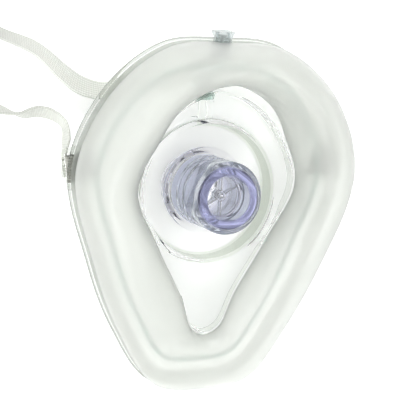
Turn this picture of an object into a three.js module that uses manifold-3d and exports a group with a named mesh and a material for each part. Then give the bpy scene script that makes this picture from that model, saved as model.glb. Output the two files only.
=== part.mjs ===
// Pocket resuscitation mask: a clear dome on an inflatable cushion, with a 22 mm port that holds a
// one-way valve and mouthpiece, an oxygen inlet, a cushion inflation valve and an elastic head strap.
// Units are millimetres and +Z is up. The mask stands on its mouthpiece with the cushion uppermost,
// so +Z points to the patient, +Y to the chin and +X to the right. The origin is under the middle
// of the mask, on the surface that it stands on.
import * as THREE from 'three';
import { mergeVertices } from 'three/addons/utils/BufferGeometryUtils.js';
import Module from 'manifold-3d';

const wasm = await Module();
wasm.setup();

// ---- driving dimensions -------------------------------------------------------------------------
// Everything is modelled about the port's axis, with heights measured up from the flange plane.
const FLANGE_Z = 20;           // flange plane above the surface that the mask stands on
const PORT_Y = 8.1;            // the port sits towards the chin from the middle of the mask
const PITCH = THREE.MathUtils.degToRad(6);  // the flange rises towards the chin
const GAP = 0.3;               // clearance between pieces that touch
const LOOP_STEPS = 56;         // steps round the mask's outline
const LATHE_STEPS = 28;        // steps round the turned parts on the port
const SMALL_LATHE_STEPS = 16;  // steps round the turned parts of the two inlets

// Right half of two outlines, from the chin's middle to the nose's middle: the flange's outer edge,
// and the opening that the face closes. Their points correspond one to one.
const OUTER_HALF = [
  [0, 55.8], [22, 53.8], [42.5, 37.2], [53.7, 9.8], [45, -25.2], [34.5, -50.2], [19, -71.7], [0, -75],
];
const WINDOW_HALF = [
  [0, 37.8], [12, 34.2], [24, 23], [31.4, 4], [21.8, -17.2], [10.8, -37.4], [5.6, -50.2], [0, -53],
];
const CHIN_Y = OUTER_HALF[0][1];
const NOSE_Y = OUTER_HALF[7][1];

const FLANGE_WIDTH = 10.9;
const FLANGE_THICKNESS = 2;
const HUB_R = 24.8;            // hub wall's inner radius at its top
const HUB_FLOOR = -6.5;
const SHELL_WALL = 1.5;
const SKIRT_TOP = 5.2;         // wall inside the cushion, above the flange

const COLLAR_R = 13;           // clear port collar
const COLLAR_BORE_R = 11.3;
const COLLAR_TOP = 15.8;
const COLLAR_BOTTOM = -9;
const HUB_RING_R = 15.9;

const TUBE_R = 11;             // 22 mm conical connector
const TUBE_BORE_R = 8.15;
const TUBE_TOP = 17;
const VALVE_R = 14;            // valve's flange
const HOUSING_R = 13.6;
const HOUSING_BORE_R = 12;
const MOUTH_R = 11;            // 22 mm mouthpiece
const MOUTH_BORE_R = 8.6;

const CUSHION_BASE = 1.2;      // cushion's underside
const CUSHION_SIDE = 6;        // level of the cushion's widest line
const CUSHION_TOP = { chin: 25.5, side: 20.5, nose: 13 };
const CUSHION_SKIN = 0.8;

const INLET_X = -2;            // both inlets sit a little left of the middle
const STEM_Z = 4.6;            // inflation stem's axis
const NIPPLE_Z = -5.3;         // oxygen nipple's axis

const LUG_Y = 8.4;             // strap lugs' middle
const LUG_Z = -5.2;            // strap lugs' underside
const STRAP_WIDTH = 9;
const STRAP_THICKNESS = 0.9;

// ---- materials ----------------------------------------------------------------------------------
function plastic(color, roughness) {
  return new THREE.MeshStandardMaterial({ color, roughness, metalness: 0 });
}
const CLEAR = plastic(0xf1f4f1, 0.08);
const FROSTED = plastic(0xe9ece7, 0.4);
const VIOLET = plastic(0x9a9cd0, 0.12);
const PALE_VIOLET = plastic(0xc5c9de, 0.15);
const SILICONE = plastic(0xe4e8ee, 0.35);
const WHITE = plastic(0xf4f4f0, 0.5);
const ELASTIC = plastic(0xd9dbd3, 0.85);
const GREEN = plastic(0x3f6a5c, 0.4);

// ---- geometry helpers ---------------------------------------------------------------------------
const mask = new THREE.Group();
mask.position.set(0, PORT_Y, FLANGE_Z);

function addPart(name, geometry, material) {
  const mesh = new THREE.Mesh(geometry, material);
  mesh.name = name;
  mask.add(mesh);
}

// Shared-vertex copy of a closed geometry with its faces turned outwards.
function outward(geometry) {
  const plain = geometry.clone();
  plain.deleteAttribute('normal');
  plain.deleteAttribute('uv');
  const merged = mergeVertices(plain, 1e-4);
  const position = merged.attributes.position;
  const index = Array.from(merged.index.array);
  const faces = [];
  for (let i = 0; i < index.length; i += 3) {
    const [a, b, c] = index.slice(i, i + 3);
    if (a !== b && b !== c && c !== a) {
      faces.push([a, b, c]);
    }
  }
  const corner = (i) => new THREE.Vector3().fromBufferAttribute(position, i);
  const volume = faces.reduce((sum, [a, b, c]) => sum + corner(a).dot(corner(b).cross(corner(c))), 0);
  const turned = volume < 0 ? faces.map(([a, b, c]) => [a, c, b]) : faces;
  merged.setIndex(turned.flat());
  return merged;
}

function toSolid(geometry) {
  const closed = outward(geometry);
  return new wasm.Manifold(new wasm.Mesh({
    numProp: 3,
    vertProperties: new Float32Array(closed.attributes.position.array),
    triVerts: new Uint32Array(closed.index.array),
  }));
}

function fromSolid(solid) {
  const mesh = solid.getMesh();
  const geometry = new THREE.BufferGeometry();
  geometry.setAttribute('position', new THREE.BufferAttribute(new Float32Array(mesh.vertProperties), 3));
  geometry.setIndex(Array.from(mesh.triVerts));
  return geometry;
}

function cut(geometry, ...tools) {
  const solid = tools.reduce((left, tool) => left.subtract(toSolid(tool)), toSolid(geometry));
  return fromSolid(solid);
}

// Surface through a closed row of closed rings, like a bent torus.
function ringLoft(rings) {
  const count = rings.length;
  const around = rings[0].length;
  const positions = rings.flat().flatMap((p) => [p.x, p.y, p.z]);
  const index = [];
  for (let i = 0; i < count; i += 1) {
    const next = (i + 1) % count;
    for (let j = 0; j < around; j += 1) {
      const right = (j + 1) % around;
      const [a, b] = [i * around + j, i * around + right];
      const [c, d] = [next * around + j, next * around + right];
      index.push(a, c, b, b, c, d);
    }
  }
  const geometry = new THREE.BufferGeometry();
  geometry.setAttribute('position', new THREE.Float32BufferAttribute(positions, 3));
  geometry.setIndex(index);
  return outward(geometry);
}

// Turned part about +Y; a profile is a list of [radius, height] that starts and ends on the axis,
// or closes on itself.
function turned(profile, steps) {
  const points = profile.map(([r, height]) => new THREE.Vector2(r, height));
  if (profile[0][0] > 0) {
    points.push(points[0].clone());
  }
  return new THREE.LatheGeometry(points, steps);
}

// Turned part on the port's axis.
function turnedOnPort(profile, steps = LATHE_STEPS) {
  return outward(turned(profile, steps).rotateX(Math.PI / 2));
}

// Turned part along +Y over the inlets' line, with its axis at the given height.
function turnedAlongY(profile, height) {
  return outward(turned(profile, SMALL_LATHE_STEPS).translate(INLET_X, 0, height));
}

// The flange and all that is fixed to it are drawn level, then pitched about the port.
function pitched(geometry) {
  return geometry.rotateX(PITCH);
}

// Rectangular ring section as a profile: outer radius, bore radius, bottom, top, corner chamfer.
function tubeProfile(outer, bore, bottom, top, chamfer = 0.3) {
  return [
    [bore, bottom], [outer - chamfer, bottom], [outer, bottom + chamfer],
    [outer, top - chamfer], [outer - chamfer, top], [bore, top],
  ];
}

// ---- outlines -----------------------------------------------------------------------------------
function closedOutline(half) {
  const mirrored = half.slice(1, -1).reverse().map(([x, y]) => [-x, y]);
  const points = [...half, ...mirrored].map(([x, y]) => new THREE.Vector3(x, y, 0));
  return new THREE.CatmullRomCurve3(points, true, 'centripetal');
}
const outerOutline = closedOutline(OUTER_HALF);
const windowOutline = closedOutline(WINDOW_HALF);

const stations = Array.from({ length: LOOP_STEPS }, (_, i) => {
  const outer = outerOutline.getPoint(i / LOOP_STEPS);
  const inner = windowOutline.getPoint(i / LOOP_STEPS);
  return {
    outer,
    inner,
    inward: inner.clone().sub(outer).normalize(),
    width: inner.distanceTo(outer),
    fromPort: inner.clone().normalize(),
    reach: inner.length(),
  };
});

// Point a given distance in from the outline, on the pitched flange, and point on a level circle
// about the port.
const xAxis = new THREE.Vector3(1, 0, 0);
function inset(station, distance, height) {
  const point = station.outer.clone().addScaledVector(station.inward, distance).setZ(height);
  return point.applyAxisAngle(xAxis, PITCH);
}
function onHub(station, radius, height) {
  return station.fromPort.clone().multiplyScalar(radius).setZ(height);
}

// ---- dome ---------------------------------------------------------------------------------------
const HUB_RIM_R = HUB_R + 1.2;
const HUB_RIM_Z = 1;
// Point on the slope between the hub's rim and the flange, at a radius from the port.
function onSlope(station, radius, drop) {
  const edge = inset(station, FLANGE_WIDTH, 0);
  const share = (radius - HUB_RIM_R) / (Math.hypot(edge.x, edge.y) - HUB_RIM_R);
  return onHub(station, radius, HUB_RIM_Z + share * (edge.z - HUB_RIM_Z) - drop);
}
// From the flange's outer edge inwards over the top: the slope, the skirt, a moat and the hub; then
// back along the underside. The skirt keeps clear of the hub where the window comes close to it.
function domeSection(station) {
  const floorBottom = HUB_FLOOR - SHELL_WALL;
  const { reach } = station;
  return [
    inset(station, 0, -FLANGE_THICKNESS),
    inset(station, 0, 0),
    inset(station, FLANGE_WIDTH, 0),
    onSlope(station, Math.max(reach - 0.9, HUB_RIM_R + 2.2), 0),
    onHub(station, reach - 0.4, SKIRT_TOP).applyAxisAngle(xAxis, PITCH),
    onHub(station, reach - 1.3, SKIRT_TOP).applyAxisAngle(xAxis, PITCH),
    onSlope(station, Math.max(reach - 2.2, HUB_RIM_R + 1.2), 0),
    onSlope(station, Math.max(reach - 3.2, HUB_RIM_R + 0.7), 0.9),
    onHub(station, HUB_RIM_R, HUB_RIM_Z),
    onHub(station, HUB_R, 0),
    onHub(station, HUB_R - 0.8, HUB_FLOOR),
    onHub(station, COLLAR_R + GAP, HUB_FLOOR),
    onHub(station, COLLAR_R + GAP, floorBottom),
    onHub(station, HUB_R + 0.7, floorBottom),
    onHub(station, HUB_R + 1.5, -0.7),
    onSlope(station, Math.max(reach - 2.7, HUB_RIM_R + 1), 2.4),
    onSlope(station, Math.max(reach - 0.9, HUB_RIM_R + 2.2), 2),
    inset(station, FLANGE_WIDTH - 0.5, -FLANGE_THICKNESS),
  ];
}
const NIPPLE_BORE_R = 1.4;
const passageSpan = [HUB_R - 2, HUB_R + 5];
const oxygenPassage = turnedAlongY([
  [0, passageSpan[0]], [NIPPLE_BORE_R, passageSpan[0]], [NIPPLE_BORE_R, passageSpan[1]], [0, passageSpan[1]],
], NIPPLE_Z);
addPart('dome_shell', cut(ringLoft(stations.map(domeSection)), oxygenPassage), CLEAR);

// Collar with two grip grooves, and the ring round it on the hub's floor.
addPart('port_collar', turnedOnPort([
  [COLLAR_BORE_R, COLLAR_BOTTOM], [COLLAR_R - 0.4, COLLAR_BOTTOM], [COLLAR_R, COLLAR_BOTTOM + 0.4],
  [COLLAR_R, -1], [COLLAR_R - 0.5, -0.6], [COLLAR_R - 0.5, 0.6], [COLLAR_R, 1],
  [COLLAR_R, 5], [COLLAR_R - 0.5, 5.4], [COLLAR_R - 0.5, 6.6], [COLLAR_R, 7],
  [COLLAR_R, COLLAR_TOP - 0.6], [COLLAR_R - 0.6, COLLAR_TOP], [COLLAR_BORE_R, COLLAR_TOP],
]), CLEAR);
addPart('hub_ring', turnedOnPort(
  tubeProfile(HUB_RING_R, COLLAR_R + GAP, HUB_FLOOR + GAP, HUB_FLOOR + 2.4, 0.5)), PALE_VIOLET);

// ---- one-way valve ------------------------------------------------------------------------------
const BASE_TOP = COLLAR_BOTTOM - GAP;
const BASE_BOTTOM = BASE_TOP - 2;
const SEAT_BOTTOM = 8;
const SEAT_TOP = 10;
const GROOVE = { bottom: -4, top: -2.2, r: 9.6 };

addPart('valve_gasket', turnedOnPort(
  tubeProfile(TUBE_R, GROOVE.r + 0.2, GROOVE.bottom + 0.1, GROOVE.top - 0.1, 0.2), 24), SILICONE);

addPart('valve_base', turnedOnPort([
  [TUBE_BORE_R - 0.75, BASE_BOTTOM], [VALVE_R - 0.4, BASE_BOTTOM], [VALVE_R, BASE_BOTTOM + 0.4],
  [VALVE_R, BASE_TOP - 0.4], [VALVE_R - 0.4, BASE_TOP], [TUBE_R, BASE_TOP],
  [TUBE_R, GROOVE.bottom], [GROOVE.r, GROOVE.bottom], [GROOVE.r, GROOVE.top], [TUBE_R, GROOVE.top],
  [TUBE_R, TUBE_TOP - 0.5], [TUBE_R - 0.5, TUBE_TOP], [TUBE_BORE_R, TUBE_TOP],
  [TUBE_BORE_R, SEAT_BOTTOM - GAP], [TUBE_BORE_R - 0.75, SEAT_BOTTOM - GAP],
]), VIOLET);

// Seat: a rim and a centre boss joined by spokes, with a hole for the diaphragm's stem.
const SEAT_R = TUBE_BORE_R - GAP;
const BOSS_R = 1.9;
const STEM_HOLE_R = 0.9;
function spoke(angle) {
  const bar = new THREE.BoxGeometry(SEAT_R - BOSS_R + 0.4, 0.9, SEAT_TOP - SEAT_BOTTOM - 0.4);
  bar.translate((SEAT_R + BOSS_R) / 2 - 0.5, 0, 0);
  bar.rotateZ(angle);
  bar.translate(0, 0, (SEAT_TOP + SEAT_BOTTOM) / 2);
  return bar;
}
function seatSolid() {
  const rim = toSolid(turnedOnPort(tubeProfile(SEAT_R, SEAT_R - 1, SEAT_BOTTOM, SEAT_TOP, 0.1)));
  const boss = toSolid(turnedOnPort(tubeProfile(BOSS_R, STEM_HOLE_R, SEAT_BOTTOM, SEAT_TOP, 0.1), 20));
  const spokes = [0, 1, 2, 3, 4, 5].map((i) => toSolid(spoke((i + 0.5) * Math.PI / 3)));
  return spokes.reduce((joined, bar) => joined.add(bar), rim.add(boss));
}
addPart('valve_seat', fromSolid(seatSolid()), PALE_VIOLET);

const DISC_R = 7.1;
const KNOB_R = 1.5;
addPart('valve_diaphragm', turnedOnPort([
  [0, SEAT_BOTTOM - 3.2], [0.9, SEAT_BOTTOM - 3.2], [KNOB_R, SEAT_BOTTOM - 2.6], [KNOB_R, SEAT_BOTTOM - 1.6],
  [0.6, SEAT_BOTTOM - 1.6], [0.6, SEAT_TOP + GAP], [DISC_R, SEAT_TOP + GAP], [DISC_R, SEAT_TOP + 0.8],
  [1.4, SEAT_TOP + 1], [0.9, SEAT_TOP + 1.6], [0, SEAT_TOP + 1.8],
], 24), SILICONE);

// Vent ring with slots all round, for what the patient breathes out.
const VENT_TOP = BASE_BOTTOM - GAP;
const VENT_BOTTOM = VENT_TOP - 2;
const VENT_SLOTS = 10;
function ventSlot(index) {
  const slot = new THREE.BoxGeometry(6, 4, 1);
  slot.translate(HOUSING_R - 1, 0, 0);
  slot.rotateZ((index + 0.5) * 2 * Math.PI / VENT_SLOTS);
  slot.translate(0, 0, (VENT_TOP + VENT_BOTTOM) / 2);
  return slot;
}
addPart('vent_ring', cut(
  turnedOnPort(tubeProfile(HOUSING_R, HOUSING_BORE_R, VENT_BOTTOM, VENT_TOP)),
  ...Array.from({ length: VENT_SLOTS }, (_, i) => ventSlot(i)),
), PALE_VIOLET);

const COVER_TOP = VENT_BOTTOM - GAP;
addPart('valve_cover', turnedOnPort([
  [MOUTH_BORE_R, -FLANGE_Z], [MOUTH_R - 0.4, -FLANGE_Z], [MOUTH_R, -FLANGE_Z + 0.5],
  [MOUTH_R, COVER_TOP - 2.6], [MOUTH_R + 1, COVER_TOP - 1.9], [HOUSING_R, COVER_TOP - 1.2],
  [HOUSING_R, COVER_TOP - 0.3], [HOUSING_R - 0.3, COVER_TOP], [HOUSING_BORE_R, COVER_TOP],
  [HOUSING_BORE_R, COVER_TOP - 1], [MOUTH_BORE_R, COVER_TOP - 1],
]), VIOLET);

// ---- cushion ------------------------------------------------------------------------------------
// Height of the cushion's crest: tallest at the chin, lowest at the nose.
function crest(y) {
  const toChin = THREE.MathUtils.smoothstep(y, 0, CHIN_Y - 10);
  const toNose = THREE.MathUtils.smoothstep(-y, 6, -NOSE_Y - 10);
  return CUSHION_TOP.side + (CUSHION_TOP.chin - CUSHION_TOP.side) * toChin
    + (CUSHION_TOP.nose - CUSHION_TOP.side) * toNose;
}
function cushionSection(station, wall, around) {
  const edge = 0.8 + wall;
  const halfWidth = (station.width - edge - wall) / 2;
  const top = crest(station.outer.y) - CUSHION_SIDE - wall;
  const bottom = CUSHION_SIDE - CUSHION_BASE - wall;
  return Array.from({ length: around }, (_, j) => {
    const angle = 2 * Math.PI * j / around;
    const rise = Math.sin(angle);
    const height = CUSHION_SIDE + rise * (rise > 0 ? top : bottom);
    return inset(station, edge + halfWidth * (1 - Math.cos(angle)), height);
  });
}
const everySecond = stations.filter((_, i) => i % 2 === 0);
const skinOutside = ringLoft(stations.map((s) => cushionSection(s, 0, 14)));
const airChamber = ringLoft(everySecond.map((s) => cushionSection(s, CUSHION_SKIN, 10)));
const STEM_R = 3.3;
const stemHole = pitched(turnedAlongY([
  [0, CHIN_Y - 14], [STEM_R + GAP, CHIN_Y - 14], [STEM_R + GAP, CHIN_Y + 10], [0, CHIN_Y + 10],
], STEM_Z));
addPart('cushion', cut(skinOutside, airChamber, stemHole), FROSTED);

addPart('cushion_weld_rim', ringLoft(stations.map((s) => [
  inset(s, 0.9, 0.3), inset(s, 0.9, 0.9), inset(s, 6.5, 0.9), inset(s, 6.5, 0.3),
])), FROSTED);

// ---- cushion inflation valve --------------------------------------------------------------------
const STEM_TIP = CHIN_Y + 3;
const STEM_ROOT = CHIN_Y - 6.5;
const STEM_BORE_R = 2.5;
const CHECK_SEAT_R = STEM_BORE_R - GAP;
const PLUNGER_HEAD = STEM_ROOT + 1.7;
addPart('inflation_stem', pitched(turnedAlongY([
  [STEM_BORE_R, STEM_ROOT], [STEM_R, STEM_ROOT], [STEM_R, STEM_TIP - 2], [STEM_R + 0.8, STEM_TIP - 1],
  [STEM_R + 0.8, STEM_TIP], [STEM_BORE_R, STEM_TIP],
], STEM_Z)), CLEAR);
addPart('inflation_valve_seat', pitched(turnedAlongY([
  [0.9, PLUNGER_HEAD + GAP], [CHECK_SEAT_R, PLUNGER_HEAD + GAP],
  [CHECK_SEAT_R, PLUNGER_HEAD + 1.8], [0.9, PLUNGER_HEAD + 1.8],
], STEM_Z)), SILICONE);
addPart('inflation_plunger', pitched(turnedAlongY([
  [0, PLUNGER_HEAD - 1], [1.7, PLUNGER_HEAD - 1], [1.7, PLUNGER_HEAD], [0.6, PLUNGER_HEAD],
  [0.6, STEM_TIP - 1.9], [1.6, STEM_TIP - 1.9], [1.6, STEM_TIP - 0.9], [0, STEM_TIP - 0.9],
], STEM_Z)), WHITE);

// ---- oxygen inlet -------------------------------------------------------------------------------
const NIPPLE_ROOT = HUB_R + 1.8;
const NIPPLE_TIP = NIPPLE_ROOT + 14;
const ROOT_R = 4.2;
const TIP_R = 2.7;
const CAP_R = 4.2;
const CAP_MOUTH = NIPPLE_ROOT + 6.6;
addPart('oxygen_nipple', turnedAlongY([
  [NIPPLE_BORE_R, NIPPLE_ROOT], [ROOT_R, NIPPLE_ROOT], [ROOT_R, CAP_MOUTH - 1],
  [ROOT_R - 0.4, CAP_MOUTH - 0.5], [TIP_R, CAP_MOUTH - 0.5], [TIP_R, NIPPLE_TIP - 4],
  [TIP_R + 0.4, NIPPLE_TIP - 3.7], [TIP_R - 0.2, NIPPLE_TIP - 0.4], [TIP_R - 0.6, NIPPLE_TIP],
  [NIPPLE_BORE_R, NIPPLE_TIP],
], NIPPLE_Z), CLEAR);
addPart('oxygen_cap', turnedAlongY([
  [0, NIPPLE_TIP + 0.4], [TIP_R + 0.5, NIPPLE_TIP + 0.4], [TIP_R + 0.5, CAP_MOUTH],
  [CAP_R - 0.3, CAP_MOUTH], [CAP_R, CAP_MOUTH + 0.3], [CAP_R, NIPPLE_TIP + 1.4],
  [CAP_R - 0.7, NIPPLE_TIP + 2], [0, NIPPLE_TIP + 2],
], NIPPLE_Z), GREEN);

// ---- strap lugs and strap -----------------------------------------------------------------------
const LUG_THICKNESS = 1.4;
const LUG_OUTER_X = 54.4;
const LUG_HALF = 8;
const LUG_TURN = THREE.MathUtils.degToRad(-8);  // the lugs splay towards the nose
const LUG_FOOT = { inner: 44, outer: 48.8, half: 6 };
const SLOT = { inner: 50.6, outer: 53.3, half: 5.6 };
// Half of the lug's edge, from its root to its outer corner, along y from its middle.
const LUG_EDGE = [[LUG_FOOT.inner, LUG_HALF], [LUG_OUTER_X - 2, LUG_HALF - 0.5]];
function lugShape() {
  const shape = new THREE.Shape();
  shape.setFromPoints(LUG_EDGE.map(([x, y]) => new THREE.Vector2(x, -y)));
  shape.quadraticCurveTo(LUG_OUTER_X, 1 - LUG_HALF, LUG_OUTER_X, 3 - LUG_HALF);
  shape.lineTo(LUG_OUTER_X, LUG_HALF - 3);
  shape.quadraticCurveTo(LUG_OUTER_X, LUG_HALF - 1, LUG_OUTER_X - 2, LUG_HALF - 0.5);
  shape.lineTo(...LUG_EDGE[0]);
  shape.closePath();
  const slot = new THREE.Path();
  const corners = [[SLOT.inner, -1], [SLOT.outer, -1], [SLOT.outer, 1], [SLOT.inner, 1]];
  slot.setFromPoints(corners.map(([x, side]) => new THREE.Vector2(x, side * SLOT.half)));
  slot.closePath();
  shape.holes.push(slot);
  return shape;
}
// Places a lug's piece at its side of the flange.
function atLug(geometry, sign) {
  const turned = geometry.translate(-SLOT.inner, 0, 0).rotateZ(LUG_TURN);
  return outward(pitched(turned.translate(SLOT.inner, LUG_Y, LUG_Z).scale(sign, 1, 1)));
}
// Lug: a slotted plate with a foot that stands against the flange's underside.
function lugGeometry() {
  const options = { depth: LUG_THICKNESS, bevelEnabled: false, curveSegments: 4 };
  const plate = new THREE.ExtrudeGeometry(lugShape(), options);
  const footTop = -FLANGE_THICKNESS - GAP - LUG_Z;
  const foot = new THREE.BoxGeometry(LUG_FOOT.outer - LUG_FOOT.inner, 2 * LUG_FOOT.half, footTop - 0.5);
  foot.translate((LUG_FOOT.outer + LUG_FOOT.inner) / 2, 0, (footTop + 0.5) / 2);
  return fromSolid(toSolid(plate).add(toSolid(foot)));
}
// Strap end: it lies under the lug, goes up through the slot and folds back over the lug's bar.
const TAIL_X = 42.6;
const FOLD_X = 49.3;
function wrapGeometry() {
  const through = SLOT.outer - GAP;
  const [under, over] = [-GAP, LUG_THICKNESS + GAP];
  const outline = [
    [TAIL_X, under - STRAP_THICKNESS], [through, under - STRAP_THICKNESS],
    [through, over + STRAP_THICKNESS], [FOLD_X, over + STRAP_THICKNESS], [FOLD_X, over],
    [through - STRAP_THICKNESS, over], [through - STRAP_THICKNESS, under], [TAIL_X, under],
  ];
  const band = new THREE.Shape(outline.map(([x, z]) => new THREE.Vector2(x, z)));
  const geometry = new THREE.ExtrudeGeometry(band, { depth: STRAP_WIDTH, bevelEnabled: false });
  return geometry.rotateX(Math.PI / 2).translate(0, STRAP_WIDTH / 2, 0);
}
for (const [side, sign] of [['left', -1], ['right', 1]]) {
  addPart(`strap_lug_${side}`, atLug(lugGeometry(), sign), CLEAR);
  addPart(`strap_wrap_${side}`, atLug(wrapGeometry(), sign), ELASTIC);
}

// Free strap: from the left lug out and round a loop on the surface, back under the chin and up to
// the right lug.
const WRAP_X = 52.8;
const WRAP_Y = LUG_Y + 0.8;
const STRAP_END_Z = LUG_Z - GAP - STRAP_THICKNESS + 0.1;
const STRAP_ROUTE = [
  [-WRAP_X, WRAP_Y, STRAP_END_Z], [-WRAP_X, WRAP_Y + 0.5, STRAP_END_Z - 1.6], [-52.2, 13.5, -9.2],
  [-51.4, 18.6, -10], [-51.7, 23, -11.4], [-54.4, 26, -14], [-59.5, 27.4, -15.2],
  [-66.2, 26.6, -15.8], [-74, 28.2, -15.9], [-86.5, 29.5, -17], [-102.8, 27.4, -18.2],
  [-121.5, 27.7, -18.3], [-137.7, 36.3, -18.3], [-142.5, 51.5, -18.3], [-132, 65.8, -18.2],
  [-110.2, 68.8, -17.8], [-90.8, 62.5, -17.2], [-73.9, 54.3, -15.7], [-61, 49.2, -15.9],
  [-50.5, 40.8, -16], [-44.8, 37, -16.1], [-35.7, 34.9, -15.8], [-19.2, 39, -14.4], [-1, 44, -12.6],
  [19, 43.5, -12.6], [36, 35, -12.6], [47, 24, -12], [51.8, 14, -10],
  [WRAP_X, WRAP_Y + 0.5, STRAP_END_Z - 1.6], [WRAP_X, WRAP_Y, STRAP_END_Z],
];
const STRAP_TUBE_R = 1.6;
const strapCorners = Array.from({ length: 8 }, (_, i) => new THREE.Vector2(
  STRAP_TUBE_R * Math.cos((i + 0.5) * Math.PI / 4), STRAP_TUBE_R * Math.sin((i + 0.5) * Math.PI / 4)));
const strapPoints = STRAP_ROUTE.map((point) => new THREE.Vector3(...point));
const strapPath = new THREE.CatmullRomCurve3(strapPoints, false, 'centripetal');
addPart('head_strap', outward(new THREE.ExtrudeGeometry(new THREE.Shape(strapCorners), {
  steps: 80, bevelEnabled: false, extrudePath: strapPath,
})), ELASTIC);

export default mask;
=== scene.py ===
"""Pocket resuscitation mask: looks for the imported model, in metres, in the model's own frame."""
import math

import bpy
import numpy as np
from mathutils import Matrix, Vector


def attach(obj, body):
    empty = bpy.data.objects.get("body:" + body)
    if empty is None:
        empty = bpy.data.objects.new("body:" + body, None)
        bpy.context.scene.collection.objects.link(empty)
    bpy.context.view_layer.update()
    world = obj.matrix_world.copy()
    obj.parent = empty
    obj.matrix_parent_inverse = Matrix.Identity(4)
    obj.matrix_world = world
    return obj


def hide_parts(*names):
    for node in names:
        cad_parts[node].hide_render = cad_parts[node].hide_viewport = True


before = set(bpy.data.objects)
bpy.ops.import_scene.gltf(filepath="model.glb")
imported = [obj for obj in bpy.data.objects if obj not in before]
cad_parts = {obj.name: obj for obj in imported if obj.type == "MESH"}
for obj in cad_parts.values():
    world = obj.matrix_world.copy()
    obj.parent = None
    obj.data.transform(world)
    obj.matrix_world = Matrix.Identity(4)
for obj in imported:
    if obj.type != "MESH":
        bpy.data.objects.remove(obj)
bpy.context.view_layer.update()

# ---- dimensions, in millimetres, measured from the port's axis and the flange plane ---------------
PORT_Y = 8.1
FLANGE_Z = 20
PITCH = math.radians(6)
ORIGIN = np.array([0, PORT_Y, FLANGE_Z])
OUTER_HALF = [
    (0, 55.8), (22, 53.8), (42.5, 37.2), (53.7, 9.8), (45, -25.2), (34.5, -50.2), (19, -71.7), (0, -75),
]
WINDOW_HALF = [
    (0, 37.8), (12, 34.2), (24, 23), (31.4, 4), (21.8, -17.2), (10.8, -37.4), (5.6, -50.2), (0, -53),
]
CHIN_Y = 55.8
NOSE_Y = -75
FLANGE_WIDTH = 10.9
FLANGE_THICKNESS = 2
HUB_R = 24.8
HUB_FLOOR = -6.5
SHELL_WALL = 1.5
HUB_RIM_R = HUB_R + 1.2
HUB_RIM_Z = 1
SKIRT_TOP = 5.2
COLLAR_R = 13
COLLAR_BORE_R = 11.3
COLLAR_TOP = 15.8
COLLAR_BOTTOM = -9
HUB_RING_R = 15.9
GAP = 0.3    # between touching solids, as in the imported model
INLET_X = -2
STRAP_WIDTH = 9
STRAP_THICKNESS = 0.9

# ---- camera --------------------------------------------------------------------------------------
CAMERA_PLACE = (-172.22, 61.67, 388.11)
CAMERA_RIGHT = (0.91588, 0.03945, 0.39951)
CAMERA_BACK = (-0.40051, 0.15793, 0.90258)


def add_camera():
    data = bpy.data.cameras.new("Camera")
    data.lens = 102.35
    data.sensor_width = 36
    data.shift_x = -0.0026
    data.shift_y = 0.0018
    data.clip_start = 0.02
    camera = bpy.data.objects.new("Camera", data)
    back = Vector(CAMERA_BACK).normalized()
    up = back.cross(Vector(CAMERA_RIGHT)).normalized()
    right = up.cross(back)
    place = Matrix((right, up, back)).transposed().to_4x4()
    place.translation = Vector(np.array(CAMERA_PLACE) + ORIGIN) / 1000
    camera.matrix_world = place
    bpy.context.scene.collection.objects.link(camera)
    bpy.context.scene.camera = camera


add_camera()

# ---- geometry helpers ----------------------------------------------------------------------------
TINY = 1e-9
MAX_TRIM = 0.46    # the largest share of an edge that one rounded corner takes


def catmull(p0, p1, p2, p3, t):
    """Centripetal Catmull-Rom points from p1 to p2 at the values t."""
    d0, d1, d2 = (max(np.linalg.norm(b - a), TINY) ** 0.5 for a, b in ((p0, p1), (p1, p2), (p2, p3)))
    m1 = ((p1 - p0) / d0 - (p2 - p0) / (d0 + d1) + (p2 - p1) / d1) * d1
    m2 = ((p2 - p1) / d1 - (p3 - p1) / (d1 + d2) + (p3 - p2) / d2) * d1
    t = t[:, None]
    squared = (-3 * p1 + 3 * p2 - 2 * m1 - m2) * t**2
    cubed = (2 * p1 - 2 * p2 + m1 + m2) * t**3
    return p1 + m1 * t + squared + cubed


def smooth_loop(points, per_span):
    """A closed smooth line through the points."""
    p = np.array(points, float)
    t = np.arange(per_span) / per_span
    n = len(p)
    return np.concatenate([catmull(p[i - 1], p[i], p[(i + 1) % n], p[(i + 2) % n], t) for i in range(n)])


def smooth_line(points, per_span):
    """An open smooth line through the points."""
    p = np.array(points, float)
    p = np.concatenate([[2 * p[0] - p[1]], p, [2 * p[-1] - p[-2]]])
    t = np.arange(per_span) / per_span
    spans = [catmull(*p[i:i + 4], t) for i in range(len(p) - 3)]
    return np.concatenate(spans + [p[-2:-1]])


def smoothstep(t):
    t = np.clip(t, 0, 1)
    return t * t * (3 - 2 * t)


def mirrored(half):
    return list(half) + [(-x, y) for x, y in reversed(half[1:-1])]


def circle(steps):
    """Angles round a full turn."""
    return np.arange(steps) * 2 * math.pi / steps


def trimmed(point, edge, radius):
    """Where the rounding of a corner point meets one of its edges."""
    share = np.minimum(radius / np.maximum(np.linalg.norm(edge, axis=1), TINY), MAX_TRIM)
    return point + edge * share[:, None]


def fillet(section, radius, steps=3):
    """Rounds every corner of closed sections: arrays of (stations, 3), one for each corner."""
    radii = radius if hasattr(radius, "__len__") else [radius] * len(section)
    out = []
    for k, point in enumerate(section):
        start = trimmed(point, section[k - 1] - point, radii[k])
        end = trimmed(point, section[(k + 1) % len(section)] - point, radii[k])
        for s in np.arange(steps + 1) / steps:
            out.append(start * (1 - s) ** 2 + point * 2 * s * (1 - s) + end * s**2)
    return out


def rounded_outline(corners, radius, steps):
    """The points of a flat closed outline, its corners rounded."""
    section = [np.array([[x, y, 0.0]]) for x, y in corners]
    return [(p[0, 0], p[0, 1]) for p in fillet(section, radius, steps)]


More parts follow.
